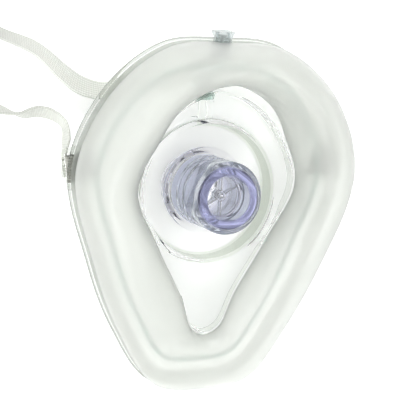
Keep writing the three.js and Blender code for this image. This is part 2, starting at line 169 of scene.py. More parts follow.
def pitch(points):
    """The flange and what is fixed to it are drawn level, then pitched about the port."""
    c, s = math.cos(PITCH), math.sin(PITCH)
    x, y, z = np.asarray(points, float).T
    return np.stack([x, y * c - z * s, y * s + z * c], 1)


def in_metres(points):
    """Points about the port in millimetres, in the model's own frame."""
    return (np.asarray(points) + ORIGIN) / 1000


def add_object(name, mesh, sharp):
    """Puts a smooth-shaded mesh in the scene, with edges sharper than an angle kept sharp."""
    mesh.polygons.foreach_set("use_smooth", [True] * len(mesh.polygons))
    if sharp:
        mesh.set_sharp_from_angle(angle=math.radians(sharp))
    obj = bpy.data.objects.new(name, mesh)
    bpy.context.scene.collection.objects.link(obj)
    return obj


def new_piece(name, vertices, faces, sharp=None):
    """A mesh object from points in millimetres about the port."""
    mesh = bpy.data.meshes.new(name)
    mesh.from_pydata(in_metres(vertices).tolist(), [], faces)
    mesh.update()
    return add_object(name, mesh, sharp)


def grid_faces(rows, columns, offset=0, close_rows=True, flip=False):
    """Faces between rows of points that are closed rings."""
    faces = []
    for i in range(rows if close_rows else rows - 1):
        for j in range(columns):
            a = i * columns + j
            b = i * columns + (j + 1) % columns
            c = ((i + 1) % rows) * columns + (j + 1) % columns
            d = ((i + 1) % rows) * columns + j
            quad = (a, b, c, d) if not flip else (d, c, b, a)
            faces.append(tuple(v + offset for v in quad))
    return faces


def tube_faces(rows, columns):
    """Faces between rows of points, with the first and the last row closed."""
    first = tuple(range(columns))[::-1]
    last = tuple((rows - 1) * columns + j for j in range(columns))
    return grid_faces(rows, columns, close_rows=False) + [first, last]


def read_all(items, key, size=1, kind=float):
    """One property of all the items, as rows of an array."""
    values = np.empty(len(items) * size, kind)
    items.foreach_get(key, values)
    return values.reshape(-1, size)


def outward(obj):
    """Turns a closed mesh's faces outwards."""
    mesh = obj.data
    co = read_all(mesh.vertices, "co", 3)
    co = co - co.mean(0)
    mesh.calc_loop_triangles()
    tris = read_all(mesh.loop_triangles, "vertices", 3, int)
    a, b, c = (co[tris[:, k]] for k in range(3))
    if np.einsum("ij,ij->i", a, np.cross(b, c)).sum() < 0:
        mesh.flip_normals()
    return obj


def loft(name, section, sharp=None):
    """A closed ring of closed sections. A section is a list of (stations, 3) arrays, one per corner."""
    points = np.stack(section, axis=1)
    stations, around = points.shape[:2]
    return outward(new_piece(name, points.reshape(-1, 3), grid_faces(stations, around), sharp))


def second_look(obj, around, columns, mat):
    """Gives some of a loft's columns of faces another material."""
    obj.data.materials.append(mat)
    index = read_all(obj.data.polygons, "material_index", kind=int).ravel()
    index[np.isin(np.arange(len(index)) % around, list(columns))] = len(obj.data.materials) - 1
    obj.data.polygons.foreach_set("material_index", index)


def upright(radius, height, angle):
    """Places a turned piece's points about the port's axis."""
    return np.stack([radius * np.cos(angle), radius * np.sin(angle), np.full_like(angle, height)], 1)


def along_y(height, pitched):
    """Places a turned piece's points about a line along Y through the inlets, level or pitched."""
    def place(radius, y, angle):
        x = INLET_X + radius * np.cos(angle)
        z = height + radius * np.sin(angle)
        points = np.stack([x, np.full_like(angle, y), z], 1)
        return pitch(points) if pitched else points
    return place


def square(inner, outer, low, high):
    """A ring's profile with four corners."""
    return [(inner, low), (outer, low), (outer, high), (inner, high)]


def turned(name, profile, place=upright, radius=0.3, steps=96, corner_steps=3):
    """A turned ring from a closed profile of (radius, height), its corners rounded."""
    angle = circle(steps)
    rounded = rounded_outline(profile, radius, corner_steps)
    return loft(name, [place(r, h, angle) for r, h in rounded], sharp=50)


def turned_solid(name, profile, place=upright, radius=0.25, steps=64, corner_steps=3):
    """A turned piece whose profile starts and ends on the axis."""
    per_corner = corner_steps + 1
    rounded = rounded_outline(profile, radius, corner_steps)[per_corner:-per_corner]
    angle = circle(steps)
    rings = np.concatenate([place(r, h, angle) for r, h in rounded])
    ends = np.concatenate([place(0, profile[0][1], angle[:1]), place(0, profile[-1][1], angle[:1])])
    faces = grid_faces(len(rounded), steps, close_rows=False)
    first, last = len(rings), len(rings) + 1
    top = (len(rounded) - 1) * steps
    for j in range(steps):
        k = (j + 1) % steps
        faces.append((first, k, j))
        faces.append((last, top + j, top + k))
    return outward(new_piece(name, np.concatenate([rings, ends]), faces, sharp=50))


# ---- materials -----------------------------------------------------------------------------------
MIX_SHARE, MIX_A, MIX_B, MIX_OUT = 0, 6, 7, 2    # where a Mix node keeps its colour sockets
NOISE_LOW = 0.3
NOISE_HIGH = 0.7


def material(name, color, roughness, transmission=0.0, ior=1.49):
    mat = bpy.data.materials.new(name)
    mat.use_nodes = True
    shader = mat.node_tree.nodes["Principled BSDF"]
    shader.inputs["Base Color"].default_value = (*color, 1)
    shader.inputs["Roughness"].default_value = roughness
    shader.inputs["Transmission Weight"].default_value = transmission
    shader.inputs["IOR"].default_value = ior
    return mat, shader


def node(mat, kind, **inputs):
    made = mat.node_tree.nodes.new(kind)
    for key, value in inputs.items():
        made.inputs[key].default_value = value
    return made


def link(mat, a, b):
    mat.node_tree.links.new(a, b)


def noise(mat, scale, detail=3.0):
    """Noise in the object's own coordinates, in metres."""
    coords = node(mat, "ShaderNodeTexCoord")
    made = node(mat, "ShaderNodeTexNoise", Scale=scale, Detail=detail)
    link(mat, coords.outputs["Object"], made.inputs["Vector"])
    return made.outputs["Fac"]


def ramp(mat, source, from_min, from_max, to_min=0.0, to_max=1.0):
    """Maps a value from one range to another and keeps it in that."""
    limits = {"From Min": from_min, "From Max": from_max, "To Min": to_min, "To Max": to_max}
    made = node(mat, "ShaderNodeMapRange", **limits)
    link(mat, source, made.inputs["Value"])
    return made.outputs["Result"]


def calculate(mat, operation, *values):
    """A Math node whose values are numbers or other nodes' outputs."""
    made = node(mat, "ShaderNodeMath")
    made.operation = operation
    for socket, value in zip(made.inputs, values):
        if isinstance(value, (int, float)):
            socket.default_value = value
        else:
            link(mat, value, socket)
    return made.outputs[0]


def mix_colours(mat, share, low, high):
    """A colour between two, by a node's output."""
    made = node(mat, "ShaderNodeMix")
    made.data_type = "RGBA"
    made.inputs[MIX_A].default_value = (*low, 1)
    made.inputs[MIX_B].default_value = (*high, 1)
    link(mat, share, made.inputs[MIX_SHARE])
    return made.outputs[MIX_OUT]


def multiplied(mat, colour, share=1, by=(1, 1, 1)):
    """A node's colour multiplied by a second colour, fully or by a node's output."""
    made = node(mat, "ShaderNodeMix")
    made.data_type = "RGBA"
    made.blend_type = "MULTIPLY"
    link(mat, colour, made.inputs[MIX_A])
    for socket, value in ((made.inputs[MIX_SHARE], share), (made.inputs[MIX_B], by)):
        if isinstance(value, tuple):
            socket.default_value = (*value, 1)
        elif isinstance(value, int):
            socket.default_value = value
        else:
            link(mat, value, socket)
    return made.outputs[MIX_OUT]


def vary(mat, shader, source, low, high):
    """A roughness that varies with a noise."""
    link(mat, ramp(mat, source, NOISE_LOW, NOISE_HIGH, low, high), shader.inputs["Roughness"])


def noisy_colour(mat, source, low, high):
    return mix_colours(mat, ramp(mat, source, NOISE_LOW, NOISE_HIGH), low, high)


def tint(mat, shader, source, low, high):
    """A base colour that varies with a noise."""
    link(mat, noisy_colour(mat, source, low, high), shader.inputs["Base Color"])


def bump(mat, shader, source, distance, strength):
    made = node(mat, "ShaderNodeBump", Strength=strength, Distance=distance)
    link(mat, source, made.inputs["Height"])
    link(mat, made.outputs["Normal"], shader.inputs["Normal"])


def absorb(mat, color, density):
    volume = node(mat, "ShaderNodeVolumeAbsorption", Color=(*color, 1), Density=density)
    link(mat, volume.outputs["Volume"], mat.node_tree.nodes["Material Output"].inputs["Volume"])


def clear_plastic(name, color, transmission=1.0, ior=1.14, roughness=0.03):
    mat, shader = material(name, color, roughness, transmission, ior)
    vary(mat, shader, noise(mat, 160, 4), roughness - 0.01, roughness + 0.03)
    bump(mat, shader, noise(mat, 70, 2), distance=0.0002, strength=0.12)
    return mat


def frosted_vinyl(name, low, high):
    """Milky vinyl, with painted shade: a little greyer towards the mask's right side."""
    mat, shader = material(name, high, 0.4, transmission=0.76, ior=1.12)
    colour = noisy_colour(mat, noise(mat, 28, 3), low, high)
    coords = node(mat, "ShaderNodeTexCoord")
    split = node(mat, "ShaderNodeSeparateXYZ")
    link(mat, coords.outputs["Object"], split.inputs["Vector"])
    # Painted shade: past x = 30 mm the base colour is multiplied by 0.965, greyer towards the mask's
    # right side.
    right_side_shade = ramp(mat, split.outputs["X"], 0.03, 0.046)
    link(mat, multiplied(mat, colour, right_side_shade, (0.965, 0.965, 0.965)), shader.inputs["Base Color"])
    vary(mat, shader, noise(mat, 240, 4), 0.36, 0.44)
    shader.inputs["Coat Weight"].default_value = 0.3
    shader.inputs["Coat Roughness"].default_value = 0.26
    bump(mat, shader, noise(mat, 45, 2), distance=0.0006, strength=0.25)
    absorb(mat, (0.44, 0.5, 0.42), 125)
    return mat


def violet_plastic(name, color, density):
    mat, shader = material(name, (0.98, 0.98, 1.0), 0.04, transmission=1.0, ior=1.18)
    vary(mat, shader, noise(mat, 200, 4), 0.03, 0.08)
    bump(mat, shader, noise(mat, 120, 2), distance=0.0001, strength=0.15)
    absorb(mat, color, density)
    return mat


def silicone():
    mat, shader = material("silicone", (0.96, 0.97, 0.985), 0.12, transmission=0.95, ior=1.2)
    vary(mat, shader, noise(mat, 300, 3), 0.08, 0.18)
    return mat


def seam_tint():
    """The welded line between cushion and dome, green."""
    mat, shader = material("seam_tint", (0.005, 0.36, 0.23), 0.4, transmission=0.05, ior=1.4)
    tint(mat, shader, noise(mat, 300, 3), (0.0, 0.32, 0.2), (0.01, 0.4, 0.27))
    vary(mat, shader, noise(mat, 420, 4), 0.32, 0.48)
    return mat


def soft_green():
    mat, shader = material("green_cap", (0.84, 0.93, 0.9), 0.12, transmission=0.92, ior=1.33)
    vary(mat, shader, noise(mat, 300, 4), 0.08, 0.18)
    bump(mat, shader, noise(mat, 900, 3), distance=0.00005, strength=0.5)
    absorb(mat, (0.3, 0.56, 0.48), 95)
    return mat


def moulded(name, low, high, roughness):
    mat, shader = material(name, high, roughness)
    tint(mat, shader, noise(mat, 220, 4), low, high)
    vary(mat, shader, noise(mat, 420, 4), roughness - 0.06, roughness + 0.08)
    bump(mat, shader, noise(mat, 900, 3), distance=0.00005, strength=0.5)
    return mat


STRAP_RIBS = 9
PICK = 0.9            # one pick of the weave along the strap, in millimetres
STRAP_PICKS = 396     # along the whole strap
# Painted shade along the strap: how pale it is at places along it, as shares of its length.
STRAP_PAINTED_SHADE = (
    (0.0, 0.95), (0.05, 0.95), (0.08, 0.78), (0.12, 0.8), (0.15, 0.92),
    (0.2, 0.8), (0.57, 0.72), (0.63, 1.0), (1.0, 1.0),
)


def wave(mat, source, count):
    return calculate(mat, "SINE", calculate(mat, "MULTIPLY", source, 2 * math.pi * count))


def painted_shade_along(mat, place):
    """The strap's painted shade: its paleness at its place along its length, in picks, as a colour."""
    along = node(mat, "ShaderNodeValToRGB")
    stops = along.color_ramp.elements
    for share, _ in STRAP_PAINTED_SHADE[1:-1]:
        stops.new(share)
    for stop, (share, pale) in zip(stops, STRAP_PAINTED_SHADE):
        stop.position = share
        stop.color = (pale, pale, pale * 0.985, 1)
    link(mat, ramp(mat, place, 0.0, STRAP_PICKS), along.inputs["Fac"])
    return along.outputs["Color"]


def elastic(name, low, high, with_painted_shade=False):
    """Knitted elastic: ribs along the strap and picks across it, from the strap's own coordinates."""
    mat, shader = material(name, high, 0.8)
    shader.inputs["Sheen Weight"].default_value = 0.25
    uv = node(mat, "ShaderNodeUVMap")
    split = node(mat, "ShaderNodeSeparateXYZ")
    link(mat, uv.outputs["UV"], split.inputs["Vector"])
    ribs = wave(mat, split.outputs["X"], STRAP_RIBS)
    picks = wave(mat, split.outputs["Y"], 1)
    knit = calculate(mat, "MULTIPLY_ADD", picks, 0.5, ribs)
    colour = mix_colours(mat, ramp(mat, knit, -1.5, 1.0), low, high)
    # Painted shade: the whole strap is darkened at places along its length.
    if with_painted_shade:
        colour = multiplied(mat, colour, by=painted_shade_along(mat, split.outputs["Y"]))
    link(mat, colour, shader.inputs["Base Color"])
    bump(mat, shader, knit, distance=0.00012, strength=0.7)
    return mat


MATERIALS = {
    "clear_shell": clear_plastic("clear_shell", (0.985, 0.993, 0.983)),
    "frosted_vinyl": frosted_vinyl("frosted_vinyl", (0.93, 0.942, 0.918), (0.952, 0.96, 0.942)),
    "violet_clear": violet_plastic("violet_clear", (0.17, 0.21, 0.68), 27),
    "pale_violet_clear": violet_plastic("pale_violet_clear", (0.4, 0.46, 0.5), 6),
    "silicone": silicone(),
    "plunger_white": moulded("plunger_white", (0.86, 0.86, 0.85), (0.93, 0.93, 0.92), 0.4),
    "elastic": elastic("elastic", (0.62, 0.64, 0.59), (0.84, 0.86, 0.82), with_painted_shade=True),
    "green_cap": soft_green(),
}
SEAM_TINT = seam_tint()
WELDED_VINYL = frosted_vinyl("welded_vinyl", (0.62, 0.64, 0.61), (0.7, 0.72, 0.69))
TEXTURED_CLEAR = clear_plastic("textured_clear", (0.66, 0.7, 0.635), ior=1.1, roughness=0.12)
SATIN_CLEAR = clear_plastic("satin_clear", (0.91, 0.925, 0.9), 0.94, ior=1.08, roughness=0.16)
# Painted shade: the flange's rounded outer edge is tinted grey-green, for the grey lines that its
# refraction shows.
EDGE_SHADE_CLEAR = clear_plastic("edge_shade_clear", (0.55, 0.57, 0.54), 0.9, ior=1.12)
PORT_CLEAR = clear_plastic("port_clear", (0.78, 0.81, 0.87), 0.92, ior=1.11)
STUB_CLEAR = clear_plastic("stub_clear", (0.67, 0.71, 0.71), 0.85, ior=1.16)
# Painted shade: the strap's ends are the same elastic, darkened for the shade they lie in at the lugs.
SHADED_FOLD_ELASTIC = elastic("shaded_fold_elastic", (0.34, 0.34, 0.3), (0.48, 0.48, 0.44))


def dress(obj, body, slot, *nodes, look=None):
    """Gives a piece its looks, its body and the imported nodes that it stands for."""
    obj.data.materials.clear()
    obj.data.materials.append(look or MATERIALS[slot])
    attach(obj, body)
    if nodes:
        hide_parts(*nodes)
    return obj


# ---- head strap ----------------------------------------------------------------------------------
LUG_Y = 8.4
LUG_Z = -5.2
WRAP_X = 52.8
WRAP_Y = LUG_Y + 0.8
STRAP_END_Z = LUG_Z - GAP - STRAP_THICKNESS + 0.1
# The route's points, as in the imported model, and the direction of the strap's width at each.
STRAP_ROUTE = [
    ((-WRAP_X, WRAP_Y, STRAP_END_Z), (0, 1, 0)),
    ((-WRAP_X, WRAP_Y + 0.5, STRAP_END_Z - 1.6), (0, 1, 0)),
    ((-52.2, 13.5, -9.2), (0, 0.8, 0.6)),
    ((-51.4, 18.6, -10), (0, 0.4, 0.91)),
    ((-51.7, 23, -11.4), (-0.15, 0.45, 0.88)),
    ((-54.4, 26, -14), (-0.39, 0.55, 0.74)),
    ((-59.5, 27.4, -15.2), (-0.42, 0.45, 0.79)),
    ((-66.2, 26.6, -15.8), (-0.46, 0.25, 0.85)),
    ((-74, 28.2, -15.9), (-0.47, -0.19, 0.86)),
    ((-86.5, 29.5, -17), (-0.3, -0.7, 0.6)),
    ((-102.8, 27.4, -18.2), (0, -1, 0.1)),
    ((-121.5, 27.7, -18.3), (0, -1, 0)),
    ((-137.7, 36.3, -18.3), (-0.8, -0.6, 0)),
    ((-142.5, 51.5, -18.3), (-1, 0.1, 0)),
    ((-132, 65.8, -18.2), (-0.55, 0.83, 0)),
    ((-110.2, 68.8, -17.8), (0.1, 1, 0.1)),
    ((-90.8, 62.5, -17.2), (0.3, 0.7, -0.5)),
    ((-73.9, 54.3, -15.7), (0.3, 0.36, -0.88)),
    ((-61, 49.2, -15.9), (0.36, 0.46, -0.81)),
    ((-50.5, 40.8, -16), (0.44, 0.58, -0.68)),
    ((-44.8, 37, -16.1), (0.46, 0.6, -0.65)),
    ((-35.7, 34.9, -15.8), (0.36, 0.6, -0.7)),
    ((-19.2, 39, -14.4), (0.1, 0.8, -0.5)),
    ((-1, 44, -12.6), (0, 1, 0)),
    ((19, 43.5, -12.6), (0.1, 1, 0)),
    ((36, 35, -12.6), (0.65, 0.65, 0)),
    ((47, 24, -12), (0.78, 0.62, 0)),
    ((51.8, 14, -10), (0.4, 0.6, 0.7)),
    ((WRAP_X, WRAP_Y + 0.5, STRAP_END_Z - 1.6), (0, 1, 0)),
    ((WRAP_X, WRAP_Y, STRAP_END_Z), (0, 1, 0)),
]
STEPS_PER_SPAN = 12
NEAR_SURFACE = 3       # what is lower than this above the surface settles towards it
SETTLE_BAND = 1.2      # and fully so this much lower
SETTLED = 0.05


def strap_section():
    """Half round edges and two flat faces: (across, through) in millimetres."""
    r = STRAP_THICKNESS / 2
    flat = STRAP_WIDTH / 2 - r
    steps = np.linspace(-1, 1, 9) * flat
    arc = np.linspace(math.pi / 2, -math.pi / 2, 5)[1:-1]
    top = [(x, r) for x in steps]
    right = [(flat + r * math.cos(a), r * math.sin(a)) for a in arc]
    bottom = [(x, -r) for x in steps[::-1]]
    left = [(-flat - r * math.cos(a), -r * math.sin(a)) for a in arc]
    return np.array(top + right + bottom + left)


def run_along(points):
    """The way along a line of points, at each of them."""
    return np.concatenate([[0], np.cumsum(np.linalg.norm(np.diff(points, axis=0), axis=1))])


def knit_coordinates(obj, columns, place):
    """Stores each vertex's place across the strap, and along it in picks, from its row and column."""
    uv = obj.data.uv_layers.new(name="strap")
    for corner in obj.data.loops:
        uv.data[corner.index].uv = place(*divmod(corner.vertex_index, columns))


def strap():
    """Sweeps the flat section along the route and settles what is near the surface on it."""
    centre = smooth_line([p for p, _ in STRAP_ROUTE], STEPS_PER_SPAN)
    width = smooth_line([w for _, w in STRAP_ROUTE], STEPS_PER_SPAN)
    tangent = np.gradient(centre, axis=0)
    tangent /= np.linalg.norm(tangent, axis=1)[:, None]
    width -= np.einsum("ij,ij->i", width, tangent)[:, None] * tangent
    width /= np.linalg.norm(width, axis=1)[:, None]
    normal = np.cross(tangent, width)
    across, through = strap_section().T
    rings = centre[:, None] + across[:, None] * width[:, None] + through[:, None] * normal[:, None]
    lowest = rings[:, :, 2].min(axis=1) + FLANGE_Z
    settle = (SETTLED - lowest) * smoothstep((NEAR_SURFACE - lowest) / SETTLE_BAND)
    rings[:, :, 2] += settle[:, None]
    centre[:, 2] += settle
    stations, around = rings.shape[:2]
    faces = tube_faces(stations, around)
    obj = outward(new_piece("elastic_strap", rings.reshape(-1, 3), faces, sharp=60))
    run = run_along(centre)
    knit_coordinates(obj, around, lambda i, j: (across[j] / STRAP_WIDTH + 0.5, run[i] / PICK))
    dress(obj, "mask", "elastic", "head_strap")


strap()

# ---- outlines ------------------------------------------------------------------------------------
PER_SPAN = 16
OUTER = smooth_loop(mirrored(OUTER_HALF), PER_SPAN)
WINDOW = smooth_loop(mirrored(WINDOW_HALF), PER_SPAN)
INWARD = WINDOW - OUTER
WIDTH = np.linalg.norm(INWARD, axis=1)
INWARD /= WIDTH[:, None]
REACH = np.linalg.norm(WINDOW, axis=1)
FROM_PORT = WINDOW / REACH[:, None]


def inset(distance, height):
    """Points a distance in from the outline, at a height over the pitched flange."""
    flat = OUTER + INWARD * np.reshape(distance, (-1, 1))
    return pitch(np.column_stack([flat, np.broadcast_to(height, len(flat))]))


def on_hub(radius, height):
    """Points at a distance from the port's axis, towards each point of the window's edge."""
    flat = FROM_PORT * np.reshape(radius, (-1, 1))
    return np.column_stack([flat, np.broadcast_to(height, len(flat))])


def on_slope(inside, clear, drop):
    """Points on the slope between the hub's rim and the flange, inside the window's edge."""
    edge = inset(FLANGE_WIDTH, 0)
    radius = np.maximum(REACH - inside, HUB_RIM_R + clear)
    share = (radius - HUB_RIM_R) / (np.hypot(edge[:, 0], edge[:, 1]) - HUB_RIM_R)
    return on_hub(radius, HUB_RIM_Z + share * (edge[:, 2] - HUB_RIM_Z) - drop)


# ---- dome ----------------------------------------------------------------------------------------
# Columns of the dome's faces, which have five to each corner of its section.
FLANGE_EDGE = range(0, 9)
SLOPE_AND_SKIRT = range(17, 33)
HUB_WALL = [*range(48, 53), *range(67, 72)]


def dome():
    """Flange, slope, skirt inside the cushion, hub and the hub's floor, in one ring."""
    under = HUB_FLOOR - SHELL_WALL
    collar_side = COLLAR_R + GAP
    corners = [    # a corner's points and the radius of its rounding
        (inset(0, -FLANGE_THICKNESS), 0.8),
        (inset(0, 0), 0.8),
        (inset(FLANGE_WIDTH, 0), 2),
        (on_slope(0.9, 2.2, 0), 0.9),
        (pitch(on_hub(REACH - 0.4, SKIRT_TOP)), 0.4),
        (pitch(on_hub(REACH - 1.3, SKIRT_TOP)), 0.4),
        (on_slope(2.2, 1.2, 0), 0.6),
        (on_slope(3.2, 0.7, 0.9), 0.6),
        (on_hub(HUB_RIM_R, HUB_RIM_Z), 0.6),
        (on_hub(HUB_R, 0), 0.7),
        (on_hub(HUB_R - 0.8, HUB_FLOOR), 1.2),
        (on_hub(collar_side, HUB_FLOOR), 0.3),
        (on_hub(collar_side, under), 0.3),
        (on_hub(HUB_R + 0.7, under), 1.2),
        (on_hub(HUB_R + 1.5, -0.7), 1.2),
        (on_slope(2.7, 1, 2.4), 1.2),
        (on_slope(0.9, 2.2, 2), 1.2),
        (inset(FLANGE_WIDTH - 0.5, -FLANGE_THICKNESS), 2),
    ]
    section = fillet([points for points, _ in corners], [radius for _, radius in corners], 4)
    shell = dress(loft("clear_dome", section, sharp=60), "mask", "clear_shell", "dome_shell")
    second_look(shell, len(section), HUB_WALL, TEXTURED_CLEAR)
    second_look(shell, len(section), SLOPE_AND_SKIRT, SATIN_CLEAR)
    # The flange's edge columns get the grey tint of painted shade.
    second_look(shell, len(section), FLANGE_EDGE, EDGE_SHADE_CLEAR)


dome()
GRIP_R = COLLAR_R - 0.9    # the bottom of the collar's two grip grooves
dress(turned("clear_collar", [
    (COLLAR_BORE_R, COLLAR_BOTTOM), (COLLAR_R, COLLAR_BOTTOM),
    (COLLAR_R, -1), (GRIP_R, -0.7), (GRIP_R, 0.7), (COLLAR_R, 1),
    (COLLAR_R, 5), (GRIP_R, 5.3), (GRIP_R, 6.7), (COLLAR_R, 7),
    (COLLAR_R, COLLAR_TOP), (COLLAR_BORE_R, COLLAR_TOP),
]), "mask", "clear_shell", "port_collar", look=PORT_CLEAR)
hub_ring = square(COLLAR_R + GAP, HUB_RING_R, HUB_FLOOR + GAP, HUB_FLOOR + 2.4)
dress(turned("clear_hub_ring", hub_ring, radius=0.6), "mask", "pale_violet_clear", "hub_ring")

# ---- one-way valve -------------------------------------------------------------------------------
TUBE_R = 11
TUBE_BORE_R = 8.15
TUBE_TOP = 17
VALVE_R = 14
BASE_TOP = COLLAR_BOTTOM - GAP
BASE_BOTTOM = BASE_TOP - 2
BASE_BORE_R = TUBE_BORE_R - 0.75
SEAT_BOTTOM = 8
SEAT_TOP = 10
SEAT_R = TUBE_BORE_R - GAP
GROOVE_BOTTOM = -4
GROOVE_TOP = -2.2
GROOVE_R = 9.6
COVER_TOP = BASE_BOTTOM - GAP - 2 - GAP    # under the vent ring, which is 2 high
HOUSING_R = 13.6
HOUSING_BORE_R = 12
MOUTH_R = 11
MOUTH_BORE_R = 8.6

seal = square(GROOVE_R + 0.2, TUBE_R, GROOVE_BOTTOM + 0.1, GROOVE_TOP - 0.1)
dress(turned("seal_ring", seal, radius=0.4), "gasket", "silicone", "valve_gasket")
dress(turned("valve_tube", [
    (BASE_BORE_R, BASE_BOTTOM), (VALVE_R, BASE_BOTTOM), (VALVE_R, BASE_TOP), (TUBE_R, BASE_TOP),
    (TUBE_R, GROOVE_BOTTOM), (GROOVE_R, GROOVE_BOTTOM), (GROOVE_R, GROOVE_TOP), (TUBE_R, GROOVE_TOP),
    (TUBE_R, TUBE_TOP), (TUBE_BORE_R, TUBE_TOP),
    (TUBE_BORE_R, SEAT_BOTTOM - GAP), (BASE_BORE_R, SEAT_BOTTOM - GAP),
], radius=0.35), "valve", "violet_clear", "valve_base")

SPOKES = 6
SPOKE_HALF = 0.45
SPOKE_LOW = SEAT_BOTTOM + 0.2
SPOKE_HIGH = SEAT_TOP - 0.2
SPOKE_ENDS = (1.7, SEAT_R - 0.8)    # inside the boss and inside the rim


def seat():
    """A rim, a boss and the spokes between them."""
    rim = square(SEAT_R - 1, SEAT_R, SEAT_BOTTOM, SEAT_TOP)
    boss = square(0.9, 1.9, SEAT_BOTTOM, SEAT_TOP)
    rim = turned("seat_rim", rim, radius=0.15, corner_steps=2)
    boss = turned("seat_boss", boss, radius=0.15, steps=40, corner_steps=2)
    dress(rim, "valve", "pale_violet_clear", "valve_seat")
    dress(boss, "valve", "pale_violet_clear")
    corners = [
        (SPOKE_HALF, SPOKE_LOW), (SPOKE_HALF, SPOKE_HIGH),
        (-SPOKE_HALF, SPOKE_HIGH), (-SPOKE_HALF, SPOKE_LOW),
    ]
    outline = rounded_outline(corners, 0.15, 2)
    faces = tube_faces(2, len(outline))
    for i in range(SPOKES):
        angle = (i + 0.5) * 2 * math.pi / SPOKES
        c, s = math.cos(angle), math.sin(angle)
        points = [(x * c - y * s, x * s + y * c, z) for x in SPOKE_ENDS for y, z in outline]
        spoke = outward(new_piece(f"seat_spoke_{i}", points, faces, sharp=40))
        dress(spoke, "valve", "pale_violet_clear")


seat()
dress(turned_solid("diaphragm", [
    (0, SEAT_BOTTOM - 3.2), (1.1, SEAT_BOTTOM - 3.1), (1.5, SEAT_BOTTOM - 2.4), (1.5, SEAT_BOTTOM - 1.6),
    (0.6, SEAT_BOTTOM - 1.6), (0.6, SEAT_TOP + 0.3), (7.1, SEAT_TOP + 0.3), (7.1, SEAT_TOP + 0.8),
    (1.4, SEAT_TOP + 1), (0.9, SEAT_TOP + 1.6), (0, SEAT_TOP + 1.8),
], radius=0.2), "diaphragm", "silicone", "valve_diaphragm")

# The vent ring is shown as it is packed.
vent_ring_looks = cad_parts["vent_ring"].data.materials
vent_ring_looks.clear()
vent_ring_looks.append(MATERIALS["pale_violet_clear"])
mouthpiece = turned("mouthpiece", [
    (MOUTH_BORE_R, -FLANGE_Z), (MOUTH_R, -FLANGE_Z), (MOUTH_R, COVER_TOP - 2.6),
    (MOUTH_R + 1, COVER_TOP - 1.9), (HOUSING_R, COVER_TOP - 1.2), (HOUSING_R, COVER_TOP),
    (HOUSING_BORE_R, COVER_TOP), (HOUSING_BORE_R, COVER_TOP - 1), (MOUTH_BORE_R, COVER_TOP - 1),
], radius=0.4)
dress(mouthpiece, "valve", "violet_clear", "valve_cover", look=MATERIALS["pale_violet_clear"])

# ---- cushion -------------------------------------------------------------------------------------
CUSHION_BASE = 1.2
CUSHION_SIDE = 6            # the height where the inflated ring is widest
CUSHION_TOP = {"chin": 25.5, "side": 20.5, "nose": 13}
CUSHION_EDGE = 0.8          # from the outline to the ring
SKIN = 0.6
AROUND = 48
TO_CHIN = CHIN_Y - 10       # the crest rises to its chin height over this
FROM_NOSE = 6               # and falls to its nose height from here
TO_NOSE = -NOSE_Y - 16      # over this
SET_BACK = 2.6
SET_BACK_FROM = 18
SET_BACK_OVER = 14


def crest():
    """The height of the inflated ring's top along the outline."""
    y = OUTER[:, 1]
    to_chin = smoothstep(y / TO_CHIN)
    to_nose = smoothstep((-y - FROM_NOSE) / TO_NOSE)
    side = CUSHION_TOP["side"]
    return side + (CUSHION_TOP["chin"] - side) * to_chin + (CUSHION_TOP["nose"] - side) * to_nose


def cushion_rings(wall):
    """Sections of the inflated ring, which is set back from the window's edge at the chin."""
    edge = CUSHION_EDGE + wall
    set_back = SET_BACK * smoothstep((WINDOW[:, 1] - SET_BACK_FROM) / SET_BACK_OVER)
    half_width = (WIDTH - edge - wall - set_back) / 2
    top = crest() - CUSHION_SIDE - wall
    bottom = CUSHION_SIDE - CUSHION_BASE - wall
    rings = []
    for angle in circle(AROUND):
        rise = math.sin(angle)
        height = CUSHION_SIDE + rise * (top if rise > 0 else bottom)
        rings.append(inset(edge + half_width * (1 - math.cos(angle)), height))
    return np.stack(rings, axis=1)


def cushion():
    """An outer and an inner skin, with the air between them left out."""
    outside = cushion_rings(0)
    inside = cushion_rings(SKIN)
    stations, around = outside.shape[:2]
    outer_faces = grid_faces(stations, around, flip=True)
    inner_faces = grid_faces(stations, around, offset=stations * around)
    points = np.concatenate([outside.reshape(-1, 3), inside.reshape(-1, 3)])
    obj = outward(new_piece("air_cushion", points, outer_faces + inner_faces))
    dress(obj, "mask", "frosted_vinyl", "cushion")


def weld(name, start, end, low, high, radius, look):
    """A flat strip on the flange, between two distances in from the outline."""
    section = [inset(start, low), inset(start, high), inset(end, high), inset(end, low)]
    strip = loft(name, fillet(section, radius, 2))
    dress(strip, "mask", "frosted_vinyl", "cushion_weld_rim", look=look)


cushion()
weld("weld_rim", 0.9, 6.5, 0.3, 0.9, 0.25, WELDED_VINYL)
weld("weld_seam", 9.9, 11.5, 0.15, 0.55, 0.15, SEAM_TINT)

# ---- cushion inflation valve ---------------------------------------------------------------------
STEM_Z = 4.6
STEM_TIP = CHIN_Y + 3
STEM_ROOT = CHIN_Y - 6.5
STEM_R = 3.3
STEM_BORE_R = 2.5
STEM_FLARE_R = 4.1
PLUNGER_HEAD = STEM_ROOT + 1.7
PLUNGER_STEM_R = 0.6
on_stem = along_y(STEM_Z, pitched=True)
stub = turned("inflation_stub", [
    (STEM_BORE_R, STEM_ROOT), (STEM_R, STEM_ROOT), (STEM_R, STEM_TIP - 2),
    (STEM_FLARE_R, STEM_TIP - 0.8), (STEM_FLARE_R, STEM_TIP), (STEM_BORE_R, STEM_TIP),
], on_stem, radius=0.25, steps=64)
dress(stub, "mask", "clear_shell", "inflation_stem", look=STUB_CLEAR)
stub_seat = square(0.9, 2.2, PLUNGER_HEAD + 0.3, PLUNGER_HEAD + 1.8)
stub_seat = turned("stub_seat", stub_seat, on_stem, radius=0.2, steps=40)
dress(stub_seat, "mask", "silicone", "inflation_valve_seat")
